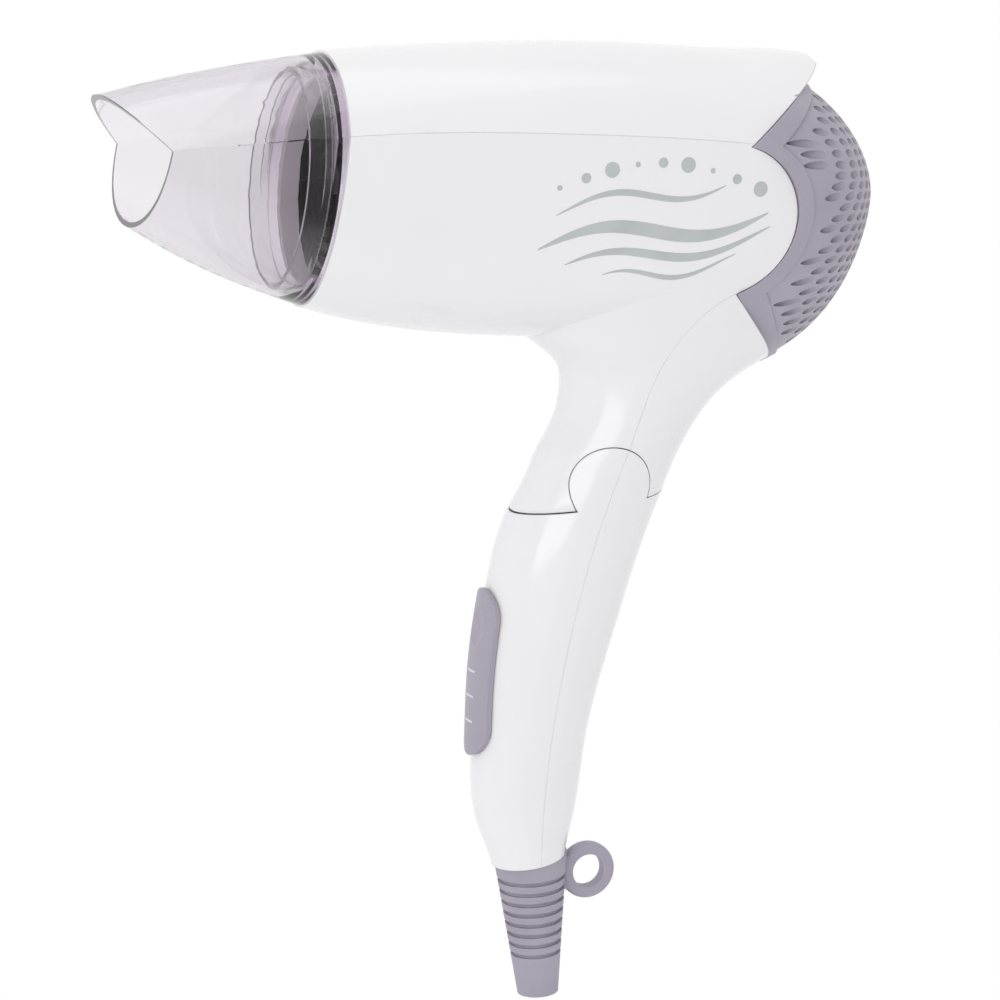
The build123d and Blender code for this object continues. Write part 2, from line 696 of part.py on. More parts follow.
def make_guard():
    """Black guard across the outlet: rings joined by three spokes."""
    back = OUTLET_SEAT_T - OUTLET_DEPTH
    guard = ring_tube(GUARD_R, GUARD_R - GUARD_RIM, back, back + GUARD_T)
    step = GUARD_R / (GUARD_RINGS + 0.5)
    for index in range(1, GUARD_RINGS):
        radius = index * step
        guard += ring_tube(radius + GUARD_BAR / 2, radius - GUARD_BAR / 2, back, back + GUARD_T)
    for index in range(3):
        spoke = Rot(0, 0, 60.0 * index) * Rectangle(2 * GUARD_R - GUARD_RIM, GUARD_SPOKE)
        guard += extrude(ring_plane(back) * spoke, amount=GUARD_T)
    return guard


def make_outlet_ring():
    """Ring in the barrel's mouth that takes the nozzle's collar."""
    tube = ring_tube(OUTLET_R, OUTLET_BORE, -OUTLET_DEPTH, OUTLET_PLATE[1])
    seat = ring_tube(OUTLET_R, OUTLET_SEAT_R, -OUTLET_DEPTH, OUTLET_SEAT_T - OUTLET_DEPTH)
    plate = ring_tube(SIDE, OUTLET_BORE, *OUTLET_PLATE)
    return (tube + seat + plate) & head_loft(WALL + PIN_FIT)


def make_mica():
    """Crossed mica boards that carry the heating wire."""
    length = HEATER_X[1] - HEATER_X[0]
    place = Pos((HEATER_X[0] + HEATER_X[1]) / 2, 0, AXIS_Z)
    corner = COIL_BEND * (math.sqrt(2) - 1)
    height = 2 * (COIL_REACH - corner - COIL_WIRE_R - MICA_GAP)
    return place * (Box(length, MICA_T, height) + Box(length, height, MICA_T))


def make_coil():
    """Heating wire wound over the four board edges as one unbroken tube."""
    pitch = (HEATER_X[1] - HEATER_X[0] - 2 * COIL_END) / COIL_TURNS
    points = []
    for step in range(4 * COIL_TURNS + 1):
        angle = math.radians(90.0 * step)
        x = HEATER_X[0] + COIL_END + pitch * step / 4
        points.append((x, COIL_REACH * math.cos(angle), AXIS_Z + COIL_REACH * math.sin(angle)))
    path = FilletPolyline(*points, radius=COIL_BEND)
    plane = Plane(origin=path @ 0, z_dir=path % 0)
    gap = pitch - 2 * COIL_WIRE_R
    print("heating wire: least gap between turns", round(gap, 2))
    return sweep(plane * Circle(COIL_WIRE_R), path=path)


def build_parts():
    """Every piece by its node name."""
    top_cover, main_shell, rear_shell = make_shells()
    grip_front, grip_rear = make_grip()
    switch_body = Pos(SWITCH_BODY_X, 0, SWITCH_MID_Z - SWITCH_TRAVEL / 2) * Box(*SWITCH_BODY)
    neck = screw(screw_head_x(NECK_SCREW_Z), NECK_SCREW_Z)
    grip_screws = Compound([screw(screw_head_x(z), z) for z in GRIP_SCREWS_Z])
    washers = Compound([
        cross_cylinder(WASHER_R, NECK_CAVITY_Y - WASHER_T, NECK_CAVITY_Y)
        - cross_cylinder(PIN_R + PIN_FIT, 0, SIDE),
        cross_cylinder(WASHER_R, -NECK_CAVITY_Y, WASHER_T - NECK_CAVITY_Y)
        - cross_cylinder(PIN_R + PIN_FIT, -SIDE, 0),
    ])
    return {
        "nozzle": make_nozzle(),
        "top_cover": top_cover,
        "main_shell": main_shell,
        "rear_shell": rear_shell,
        "intake_frame": make_frame(),
        "intake_grille": make_grille(),
        "outlet_ring": make_outlet_ring(),
        "outlet_guard": make_guard(),
        "heat_tube": axis_tube(HEAT_TUBE_R, HEAT_TUBE_R - HEAT_TUBE_WALL, *HEATER_X),
        "mica_boards": make_mica(),
        "heating_wire": make_coil(),
        "fan_duct": make_duct(),
        "motor": make_motor(),
        "motor_shaft": axis_tube(SHAFT_R, 0, MOTOR_X[0] - SHAFT_TAIL, FAN_X[1] + SHAFT_NOSE),
        "fan": make_fan(),
        "neck_screw": neck,
        "hinge_pin": cross_cylinder(PIN_R, -PIN_HALF, PIN_HALF),
        "hinge_washers": washers,
        "grip_front": grip_front,
        "grip_rear": grip_rear,
        "grip_screws": grip_screws,
        "switch_slider": make_switch(),
        "switch_body": switch_body,
        "strain_relief": make_strain_relief(),
    }


def main():
    """Write one file for each piece."""
    os.makedirs("parts", exist_ok=True)
    for name, shape in build_parts().items():
        export_step(shape, f"parts/{name}.step")
        print(name, len(shape.solids()), round(shape.volume, 1))


main()
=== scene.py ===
"""Looks of a folding hair dryer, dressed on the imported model.

Every size is in metres in the frame of the model: +X runs to the rear, +Z up, and the
origin is the centre of the hang ring's hole.
"""
import json
import logging
import math
from dataclasses import dataclass
from enum import Enum

import bmesh
import bpy
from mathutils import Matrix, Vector
from mathutils.bvhtree import BVHTree


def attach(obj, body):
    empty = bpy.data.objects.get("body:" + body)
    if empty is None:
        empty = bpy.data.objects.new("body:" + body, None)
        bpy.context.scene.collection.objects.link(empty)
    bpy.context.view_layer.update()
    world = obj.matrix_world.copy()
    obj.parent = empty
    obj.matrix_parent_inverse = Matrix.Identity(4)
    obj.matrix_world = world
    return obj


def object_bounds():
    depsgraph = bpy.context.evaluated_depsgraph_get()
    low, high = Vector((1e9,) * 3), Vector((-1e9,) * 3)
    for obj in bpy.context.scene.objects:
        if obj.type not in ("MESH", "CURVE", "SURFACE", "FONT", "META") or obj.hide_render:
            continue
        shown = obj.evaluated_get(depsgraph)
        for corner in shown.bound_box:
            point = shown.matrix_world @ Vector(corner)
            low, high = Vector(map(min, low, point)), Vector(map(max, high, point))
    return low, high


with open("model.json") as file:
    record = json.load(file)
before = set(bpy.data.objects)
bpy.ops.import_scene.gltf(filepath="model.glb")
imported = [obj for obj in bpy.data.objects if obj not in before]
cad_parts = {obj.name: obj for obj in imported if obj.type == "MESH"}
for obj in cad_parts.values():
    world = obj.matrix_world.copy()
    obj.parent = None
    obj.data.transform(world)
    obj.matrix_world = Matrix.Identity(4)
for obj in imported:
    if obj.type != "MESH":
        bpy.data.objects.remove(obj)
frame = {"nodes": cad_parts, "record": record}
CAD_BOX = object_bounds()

MM = 0.001
LOG = logging.getLogger("hair_dryer")
Colour = tuple[float, float, float]
Point = tuple[float, float, float]
Flat = tuple[float, float]


class Slot(Enum):
    """Material slots of the record."""

    WHITE_SHELL = "white_shell"
    LILAC_PLASTIC = "lilac_plastic"
    LILAC_RUBBER = "lilac_rubber"
    CLEAR_PLASTIC = "clear_plastic"
    WHITE_HEATPROOF = "white_heatproof"
    BLACK_GUARD = "black_guard"
    MICA = "mica"
    HEATING_ALLOY = "heating_alloy"
    MOTOR_STEEL = "motor_steel"
    DARK_PLASTIC = "dark_plastic"


class Body(Enum):
    """Moving bodies that new pieces ride on."""

    HEAD = "head"
    SLIDER = "slider"


class Effect(Enum):
    """Shared surface effects, one node group each."""

    GRAIN = "moulding_grain"
    FILM = "handling_film"
    WEAR = "edge_wear"
    EDGES = "eased_edges"


class NodeBench:
    """Adds and links nodes in one node tree."""

    def __init__(self, tree: bpy.types.NodeTree) -> None:
        """Keep the tree that the nodes go into."""
        self.tree = tree

    def add(self, kind: str, **settings: object) -> bpy.types.Node:
        """Add a node.

        Args:
            kind: Blender's name of the node type.
            settings: properties of the node, by name.

        Returns:
            The new node.
        """
        node = self.tree.nodes.new(kind)
        for name, value in settings.items():
            setattr(node, name, value)
        return node

    def link(self, source: bpy.types.NodeSocket, target: bpy.types.NodeSocket) -> None:
        """Join an output to an input."""
        self.tree.links.new(source, target)

    def math(self, operation: str, first: object, second: object) -> bpy.types.NodeSocket:
        """Add a math node.

        Args:
            operation: the sum that it does.
            first: a socket or a number.
            second: a socket or a number.

        Returns:
            The result's socket.
        """
        node = self.add("ShaderNodeMath", operation=operation)
        for place, value in enumerate((first, second)):
            if isinstance(value, bpy.types.NodeSocket):
                self.link(value, node.inputs[place])
            else:
                node.inputs[place].default_value = value
        return node.outputs[0]

    def spread(self, value: bpy.types.NodeSocket, low: float, high: float,
               to_low: float = 0.0, to_high: float = 1.0) -> bpy.types.NodeSocket:
        """Stretch the part of a mask between two levels to another range.

        Args:
            value: the mask.
            low: level that becomes the new low.
            high: level that becomes the new high.
            to_low: the new low.
            to_high: the new high.

        Returns:
            The stretched mask's socket.
        """
        node = self.add("ShaderNodeMapRange")
        self.link(value, node.inputs["Value"])
        levels = {"From Min": low, "From Max": high, "To Min": to_low, "To Max": to_high}
        for name, level in levels.items():
            node.inputs[name].default_value = level
        return node.outputs["Result"]

    def noise(self, place: bpy.types.NodeSocket, scale: object, detail: float) -> bpy.types.NodeSocket:
        """Add a noise texture.

        Args:
            place: coordinates of the surface.
            scale: a socket or a number of features per metre.
            detail: number of finer layers.

        Returns:
            The noise value's socket.
        """
        node = self.add("ShaderNodeTexNoise")
        self.link(place, node.inputs["Vector"])
        node.inputs["Detail"].default_value = detail
        if isinstance(scale, bpy.types.NodeSocket):
            self.link(scale, node.inputs["Scale"])
        else:
            node.inputs["Scale"].default_value = scale
        return node.outputs["Fac"]


class EffectShelf:
    """Builds each shared effect once and places it in materials."""

    BEVEL_SAMPLES = 6
    FINE_DETAIL = 3.0
    BROAD_DETAIL = 1.0
    SMEAR_DETAIL = 4.0
    BROAD_SCALE = 0.12
    FINE_SHARE = 0.7
    TONE_LEVELS = (0.32, 0.68)
    SMEAR_LEVELS = (0.36, 0.72)
    TURN_LEVELS = (0.02, 0.22)
    BREAKUP_LEVELS = (0.35, 0.6)

    def __init__(self) -> None:
        """Build every effect's node group."""
        self.groups: dict[Effect, bpy.types.NodeTree] = {}
        self._grain()
        self._film()
        self._wear()
        self._edges()

    def _group(self, effect: Effect, inputs: dict[str, float], outputs: dict[str, str]) -> tuple:
        """Start a node group.

        Args:
            effect: which effect it is.
            inputs: number inputs with their defaults.
            outputs: outputs with their socket types.

        Returns:
            The bench, the group's input node and the group's output node.
        """
        tree = bpy.data.node_groups.new(effect.value, "ShaderNodeTree")
        for name, value in inputs.items():
            socket = tree.interface.new_socket(name, in_out="INPUT", socket_type="NodeSocketFloat")
            socket.default_value = value
        for name, kind in outputs.items():
            tree.interface.new_socket(name, in_out="OUTPUT", socket_type=kind)
        bench = NodeBench(tree)
        self.groups[effect] = tree
        return bench, bench.add("NodeGroupInput"), bench.add("NodeGroupOutput")

    def _grain(self) -> None:
        """Fine moulded texture: a height and a tone."""
        bench, given, result = self._group(
            Effect.GRAIN, {"Scale": 900.0}, {"Height": "NodeSocketFloat", "Tone": "NodeSocketFloat"})
        place = bench.add("ShaderNodeTexCoord").outputs["Object"]
        fine = bench.noise(place, given.outputs["Scale"], self.FINE_DETAIL)
        broad_scale = bench.math("MULTIPLY", given.outputs["Scale"], self.BROAD_SCALE)
        broad = bench.noise(place, broad_scale, self.BROAD_DETAIL)
        fine_part = bench.math("MULTIPLY", fine, self.FINE_SHARE)
        broad_part = bench.math("MULTIPLY", broad, 1.0 - self.FINE_SHARE)
        bench.link(bench.math("ADD", fine_part, broad_part), result.inputs["Height"])
        bench.link(bench.spread(broad, *self.TONE_LEVELS), result.inputs["Tone"])

    def _film(self) -> None:
        """Uneven film left by hands and dust: a mask."""
        bench, given, result = self._group(Effect.FILM, {"Scale": 30.0}, {"Mask": "NodeSocketFloat"})
        place = bench.add("ShaderNodeTexCoord").outputs["Object"]
        smear = bench.noise(place, given.outputs["Scale"], self.SMEAR_DETAIL)
        bench.link(bench.spread(smear, *self.SMEAR_LEVELS), result.inputs["Mask"])

    def _wear(self) -> None:
        """Rubbed edges, broken up: a mask."""
        bench, given, result = self._group(
            Effect.WEAR, {"Width": 0.0004, "Breakup": 220.0}, {"Mask": "NodeSocketFloat"})
        bevel = bench.add("ShaderNodeBevel", samples=self.BEVEL_SAMPLES)
        bench.link(given.outputs["Width"], bevel.inputs["Radius"])
        true_normal = bench.add("ShaderNodeNewGeometry").outputs["Normal"]
        facing = bench.add("ShaderNodeVectorMath", operation="DOT_PRODUCT")
        bench.link(bevel.outputs["Normal"], facing.inputs[0])
        bench.link(true_normal, facing.inputs[1])
        turned = bench.math("SUBTRACT", 1.0, facing.outputs["Value"])
        edge = bench.spread(turned, *self.TURN_LEVELS)
        place = bench.add("ShaderNodeTexCoord").outputs["Object"]
        specks = bench.noise(place, given.outputs["Breakup"], self.FINE_DETAIL)
        breakup = bench.spread(specks, *self.BREAKUP_LEVELS)
        bench.link(bench.math("MULTIPLY", edge, breakup), result.inputs["Mask"])

    def _edges(self) -> None:
        """Softened edges: a normal."""
        bench, given, result = self._group(Effect.EDGES, {"Radius": 0.0003}, {"Normal": "NodeSocketVector"})
        bevel = bench.add("ShaderNodeBevel", samples=self.BEVEL_SAMPLES)
        bench.link(given.outputs["Radius"], bevel.inputs["Radius"])
        bench.link(bevel.outputs["Normal"], result.inputs["Normal"])

    def place(self, bench: NodeBench, effect: Effect, **values: float) -> bpy.types.Node:
        """Put an effect into a material.

        Args:
            bench: the material's bench.
            effect: which effect.
            values: its input values, by lower-case name.

        Returns:
            The group's node.
        """
        node = bench.add("ShaderNodeGroup", node_tree=self.groups[effect])
        for name, value in values.items():
            node.inputs[name.capitalize()].default_value = value
        return node


def start_material(name: str) -> tuple[bpy.types.Material, NodeBench, bpy.types.Node]:
    """Make an empty material with its shader and output.

    Args:
        name: name of the finish.

    Returns:
        The material, its bench and its shader node.
    """
    material = bpy.data.materials.new(name)
    material.use_nodes = True
    material.node_tree.nodes.clear()
    bench = NodeBench(material.node_tree)
    shader = bench.add("ShaderNodeBsdfPrincipled")
    output = bench.add("ShaderNodeOutputMaterial")
    bench.link(shader.outputs["BSDF"], output.inputs["Surface"])
    return material, bench, shader


def blend_colours(bench: NodeBench, mask: bpy.types.NodeSocket, first: object,
                  second: object) -> bpy.types.NodeSocket:
    """Mix two colours by a mask.

    Args:
        bench: the material's bench.
        mask: 0 for the first colour, 1 for the second.
        first: a colour or a socket.
        second: a colour or a socket.

    Returns:
        The mixed colour's socket.
    """
    node = bench.add("ShaderNodeMix", data_type="RGBA", blend_type="MIX")
    bench.link(mask, node.inputs["Factor"])
    colours = [socket for socket in node.inputs if socket.type == "RGBA"]
    for socket, value in zip(colours, (first, second)):
        if isinstance(value, bpy.types.NodeSocket):
            bench.link(value, socket)
        else:
            socket.default_value = (*value, 1.0)
    return next(socket for socket in node.outputs if socket.type == "RGBA")


def add_relief(bench: NodeBench, shader: bpy.types.Node, height: bpy.types.NodeSocket, depth: float,
               normal: bpy.types.NodeSocket | None = None) -> None:
    """Give a shader a fine relief over its eased edges.

    Args:
        bench: the material's bench.
        shader: the shader node.
        height: the relief's height, 0 to 1.
        depth: real depth of the relief.
        normal: normal of the eased edges, if any.
    """
    bump = bench.add("ShaderNodeBump")
    bump.inputs["Strength"].default_value = 1.0
    bump.inputs["Distance"].default_value = depth
    bench.link(height, bump.inputs["Height"])
    if normal is not None:
        bench.link(normal, bump.inputs["Normal"])
    bench.link(bump.outputs["Normal"], shader.inputs["Normal"])


@dataclass(frozen=True)
class PlasticFinish:
    """Moulded plastic or rubber: grain, handling film, rubbed and eased edges."""

    name: str
    colour: Colour
    drift: Colour
    rubbed: Colour
    polished: float
    filmed: float
    grain_scale: float
    grain_depth: float
    film_scale: float = 28.0
    edge_radius: float = 0.0003
    wear_width: float = 0.0005
    coat: float = 0.0
    ior: float = 1.5
    specular: float = 0.5

    def material(self, shelf: EffectShelf) -> bpy.types.Material:
        """Build the finish.

        Args:
            shelf: the shared effects.

        Returns:
            The new material.
        """
        material, bench, shader = start_material(self.name)
        grain = shelf.place(bench, Effect.GRAIN, scale=self.grain_scale)
        film = shelf.place(bench, Effect.FILM, scale=self.film_scale)
        wear = shelf.place(bench, Effect.WEAR, width=self.wear_width)
        edges = shelf.place(bench, Effect.EDGES, radius=self.edge_radius)
        drifted = blend_colours(bench, film.outputs["Mask"], self.colour, self.drift)
        worn = blend_colours(bench, wear.outputs["Mask"], drifted, self.rubbed)
        bench.link(worn, shader.inputs["Base Color"])
        rough = bench.spread(film.outputs["Mask"], 0.0, 1.0, self.polished, self.filmed)
        bench.link(rough, shader.inputs["Roughness"])
        shader.inputs["IOR"].default_value = self.ior
        shader.inputs["Specular IOR Level"].default_value = self.specular
        shader.inputs["Coat Weight"].default_value = self.coat
        shader.inputs["Coat Roughness"].default_value = self.polished / 2
        add_relief(bench, shader, grain.outputs["Height"], self.grain_depth, edges.outputs["Normal"])
        return material


@dataclass(frozen=True)
class ClearFinish:
    """Clear tinted plastic that darkens where the sight line runs along the wall."""

    name: str
    tint: Colour
    stain: Colour
    density: float
    polished: float
    filmed: float
    ripple_scale: float
    ripple_depth: float
    ior: float

    def material(self, shelf: EffectShelf) -> bpy.types.Material:
        """Build the finish.

        Args:
            shelf: the shared effects.

        Returns:
            The new material.
        """
        material, bench, shader = start_material(self.name)
        grain = shelf.place(bench, Effect.GRAIN, scale=self.ripple_scale)
        film = shelf.place(bench, Effect.FILM, scale=self.ripple_scale)
        shader.inputs["Base Color"].default_value = (*self.tint, 1.0)
        shader.inputs["Transmission Weight"].default_value = 1.0
        shader.inputs["IOR"].default_value = self.ior
        rough = bench.spread(film.outputs["Mask"], 0.0, 1.0, self.polished, self.filmed)
        bench.link(rough, shader.inputs["Roughness"])
        add_relief(bench, shader, grain.outputs["Height"], self.ripple_depth)
        stain = bench.add("ShaderNodeVolumeAbsorption")
        stain.inputs["Color"].default_value = (*self.stain, 1.0)
        stain.inputs["Density"].default_value = self.density
        output = next(node for node in material.node_tree.nodes if node.type == "OUTPUT_MATERIAL")
        bench.link(stain.outputs["Volume"], output.inputs["Volume"])
        path = bench.add("ShaderNodeLightPath").outputs
        lit = bench.math("MAXIMUM", path["Is Shadow Ray"], path["Is Diffuse Ray"])
        through = bench.add("ShaderNodeBsdfTransparent")
        mix = bench.add("ShaderNodeMixShader")
        bench.link(lit, mix.inputs[0])
        bench.link(shader.outputs[0], mix.inputs[1])
        bench.link(through.outputs[0], mix.inputs[2])
        bench.link(mix.outputs[0], output.inputs["Surface"])
        return material


@dataclass(frozen=True)
class MetalFinish:
    """Bare or oxidised metal with a fine noise grain."""

    name: str
    colour: Colour
    oxide: Colour
    polished: float
    dulled: float
    grain_scale: float
    grain_depth: float
    film_scale: float
    edge_radius: float = 0.0002

    def material(self, shelf: EffectShelf) -> bpy.types.Material:
        """Build the finish.

        Args:
            shelf: the shared effects.

        Returns:
            The new material.
        """
        material, bench, shader = start_material(self.name)
        grain = shelf.place(bench, Effect.GRAIN, scale=self.grain_scale)
        film = shelf.place(bench, Effect.FILM, scale=self.film_scale)
        edges = shelf.place(bench, Effect.EDGES, radius=self.edge_radius)
        colour = blend_colours(bench, film.outputs["Mask"], self.colour, self.oxide)
        bench.link(colour, shader.inputs["Base Color"])
        rough = bench.spread(grain.outputs["Tone"], 0.0, 1.0, self.polished, self.dulled)
        bench.link(rough, shader.inputs["Roughness"])
        shader.inputs["Metallic"].default_value = 1.0
        add_relief(bench, shader, grain.outputs["Height"], self.grain_depth, edges.outputs["Normal"])
        return material


FINISHES = {
    Slot.WHITE_SHELL: PlasticFinish(
        name="white_gloss_shell", colour=(0.845, 0.838, 0.852), drift=(0.825, 0.818, 0.835),
        rubbed=(0.88, 0.875, 0.88), polished=0.13, filmed=0.2, grain_scale=420.0, grain_depth=2e-6,
        film_scale=16.0, edge_radius=0.0004, coat=0.25),
    Slot.LILAC_PLASTIC: PlasticFinish(
        name="lilac_satin_plastic", colour=(0.385, 0.36, 0.43), drift=(0.355, 0.332, 0.398),
        rubbed=(0.52, 0.495, 0.56), polished=0.38, filmed=0.5, grain_scale=2600.0, grain_depth=1.6e-5,
        film_scale=60.0, edge_radius=0.0003),
    Slot.LILAC_RUBBER: PlasticFinish(
        name="lilac_rubber", colour=(0.385, 0.358, 0.43), drift=(0.35, 0.325, 0.392),
        rubbed=(0.5, 0.475, 0.545), polished=0.5, filmed=0.66, grain_scale=2200.0, grain_depth=2.4e-5,
        film_scale=90.0, edge_radius=0.00025),
    Slot.CLEAR_PLASTIC: ClearFinish(
        name="clear_violet_plastic", tint=(1.0, 1.0, 1.0), stain=(0.36, 0.21, 0.4), density=110.0,
        polished=0.0, filmed=0.035, ripple_scale=60.0, ripple_depth=2e-5, ior=1.5),
    Slot.WHITE_HEATPROOF: PlasticFinish(
        name="white_heatproof_plastic", colour=(0.78, 0.765, 0.755), drift=(0.73, 0.71, 0.695),
        rubbed=(0.82, 0.81, 0.8), polished=0.3, filmed=0.42, grain_scale=1500.0, grain_depth=8e-6),
    Slot.BLACK_GUARD: PlasticFinish(
        name="black_guard_plastic", colour=(0.012, 0.011, 0.013), drift=(0.02, 0.018, 0.02),
        rubbed=(0.03, 0.028, 0.03), polished=0.5, filmed=0.66, grain_scale=2400.0, grain_depth=1e-5,
        specular=0.0),
    Slot.MICA: PlasticFinish(
        name="mica_board", colour=(0.36, 0.27, 0.19), drift=(0.21, 0.15, 0.1),
        rubbed=(0.48, 0.4, 0.31), polished=0.26, filmed=0.48, grain_scale=700.0, grain_depth=2e-5,
        film_scale=260.0),
    Slot.HEATING_ALLOY: MetalFinish(
        name="heating_alloy", colour=(0.36, 0.33, 0.31), oxide=(0.13, 0.105, 0.1), polished=0.28,
        dulled=0.5, grain_scale=3000.0, grain_depth=6e-6, film_scale=180.0),
    Slot.MOTOR_STEEL: MetalFinish(
        name="plated_steel", colour=(0.62, 0.62, 0.63), oxide=(0.47, 0.46, 0.46), polished=0.18,
        dulled=0.36, grain_scale=1800.0, grain_depth=4e-6, film_scale=90.0),
    Slot.DARK_PLASTIC: PlasticFinish(
        name="dark_grey_plastic", colour=(0.045, 0.044, 0.048), drift=(0.06, 0.058, 0.062),
        rubbed=(0.12, 0.115, 0.12), polished=0.34, filmed=0.52, grain_scale=1900.0, grain_depth=1.2e-5),
}
PRINT_INK = PlasticFinish(
    name="silver_grey_ink", colour=(0.5, 0.53, 0.53), drift=(0.46, 0.49, 0.49), rubbed=(0.6, 0.62, 0.62),
    polished=0.3, filmed=0.42, grain_scale=5200.0, grain_depth=3e-6, film_scale=120.0, edge_radius=2e-5,
    wear_width=3e-5)
# Paler colour given to the raised ticks on the switch slider, lighter than the lilac around them.
PALE_TICK_FINISH = PlasticFinish(
    name="pale_tick_colour", colour=(0.72, 0.71, 0.75), drift=(0.66, 0.65, 0.7), rubbed=(0.8, 0.79, 0.82),
    polished=0.35, filmed=0.48, grain_scale=4200.0, grain_depth=3e-6, film_scale=150.0, edge_radius=5e-5,
    wear_width=6e-5)


class Workshop:
    """Holds the finished materials and dresses pieces with them."""

    CREASE = math.radians(28.0)
    JOIN_DISTANCE = 1e-6

    def __init__(self) -> None:
        """Build the shared effects, the finishes and the shading modifier."""
        self.shelf = EffectShelf()
        self.materials = {slot: finish.material(self.shelf) for slot, finish in FINISHES.items()}
        self.slots = {part["node"]: Slot(part["material_slot"]) for part in frame["record"]["subparts"]}
        self.shading = self._crisp_shading()

    def _crisp_shading(self) -> bpy.types.NodeTree:
        """Make the modifier group that shades round faces smooth and keeps creases.

        Returns:
            The group.
        """
        tree = bpy.data.node_groups.new("crisp_shading", "GeometryNodeTree")
        for way in ("INPUT", "OUTPUT"):
            tree.interface.new_socket("Geometry", in_out=way, socket_type="NodeSocketGeometry")
        bench = NodeBench(tree)
        given = bench.add("NodeGroupInput")
        result = bench.add("NodeGroupOutput")
        joined = bench.add("GeometryNodeMergeByDistance")
        joined.inputs["Distance"].default_value = self.JOIN_DISTANCE
        angle = bench.add("GeometryNodeInputMeshEdgeAngle")
        sharp = bench.add("FunctionNodeCompare", data_type="FLOAT", operation="GREATER_THAN")
        bench.link(angle.outputs["Unsigned Angle"], sharp.inputs["A"])
        sharp.inputs["B"].default_value = self.CREASE
        faces = bench.add("GeometryNodeSetShadeSmooth", domain="FACE")
        edges = bench.add("GeometryNodeSetShadeSmooth", domain="EDGE")
        edges.inputs["Shade Smooth"].default_value = False
        bench.link(given.outputs[0], joined.inputs["Geometry"])
        bench.link(joined.outputs[0], faces.inputs["Geometry"])
        bench.link(faces.outputs[0], edges.inputs["Geometry"])
        bench.link(sharp.outputs["Result"], edges.inputs["Selection"])
        bench.link(edges.outputs[0], result.inputs[0])
        return tree

    def shade(self, piece: bpy.types.Object) -> None:
        """Add the crisp shading to a piece."""
        modifier = piece.modifiers.new("crisp_shading", "NODES")
        modifier.node_group = self.shading

    @staticmethod
    def paint(piece: bpy.types.Object, material: bpy.types.Material) -> None:
        """Give a piece one finish all over.

        Args:
            piece: the object.
            material: the finish.
        """
        if not piece.material_slots:
            piece.data.materials.append(material)
        for place in piece.material_slots:
            place.link = "OBJECT"
            place.material = material

    def dress_node(self, name: str) -> None:
        """Finish a node of the model in its own slot.

        Args:
            name: the node.
        """
        piece = frame["nodes"][name]
        self.paint(piece, self.materials[self.slots[name]])
        self.shade(piece)
        LOG.info("dressed %s as %s", name, self.slots[name].value)

    def add_piece(self, mesh: bpy.types.Mesh, body: Body, slot: Slot,
                  material: bpy.types.Material | None = None) -> bpy.types.Object:
        """Add a new piece to the object.

        Args:
            mesh: its mesh, in the model's frame.
            body: the body that it rides on.
            slot: the finish's slot.
            material: the finish, if it isn't the slot's own.

        Returns:
            The new object.
        """
        piece = bpy.data.objects.new(mesh.name, mesh)
        bpy.context.scene.collection.objects.link(piece)
        self.paint(piece, material or self.materials[slot])
        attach(piece, body.value)
        LOG.info("added %s on %s", mesh.name, body.value)
        return piece


def node_tree_of(name: str) -> BVHTree:
    """Make a search tree of a node's surface.

    Args:
        name: the node.

    Returns:
        The tree.
    """
    mesh = frame["nodes"][name].data
    points = [vertex.co for vertex in mesh.vertices]
    return BVHTree.FromPolygons(points, [face.vertices[:] for face in mesh.polygons])


def mesh_of(sheet: bmesh.types.BMesh, name: str) -> bpy.types.Mesh:
    """Turn a built sheet into a mesh with its faces turned outwards.

    Args:
        sheet: the sheet, used up here.
        name: the mesh's name.

    Returns:
        The mesh.
    """
    bmesh.ops.recalc_face_normals(sheet, faces=sheet.faces)
    mesh = bpy.data.meshes.new(name)
    sheet.to_mesh(mesh)
    sheet.free()
    return mesh


def thicken(piece: bpy.types.Object, thickness: float) -> None:
    """Give a flat piece a body on both sides of its sheet.

    Args:
        piece: the piece.
        thickness: its thickness in millimetres.
    """
    body = piece.modifiers.new("body", "SOLIDIFY")
    body.thickness = thickness * MM
    body.offset = 0.0


@dataclass
class DressedNodes:
    """A sub-assembly whose pieces keep the shapes of the model."""

    label: str
    nodes: tuple[str, ...]

    def build(self, workshop: Workshop) -> None:
        """Dress every piece of the sub-assembly.

        Args:
            workshop: the finishes.
        """
        for name in self.nodes:
            workshop.dress_node(name)
        LOG.info("%s: %d pieces", self.label, len(self.nodes))


@dataclass(frozen=True)
class BreezeStroke:
    """One tapered wave of the side print, in millimetres on the barrel's side."""

    start: float
    end: float
    height: float
    rise: float
    swing: float
    phase: float
    width: float

    def place(self, along: float, across: float) -> Flat:
        """Find a point of the stroke.

        Args:
            along: share of its length.
            across: -1 at its lower edge to 1 at its upper edge.

        Returns:
            X and Z of the point, in metres.
        """
        wave = self.swing * math.sin(2.0 * math.pi * along + self.phase)
        half = 0.5 * self.width * math.sin(math.pi * along) ** 0.7
        x = self.start + (self.end - self.start) * along
        return x * MM, (self.height + self.rise * along + wave + across * half) * MM


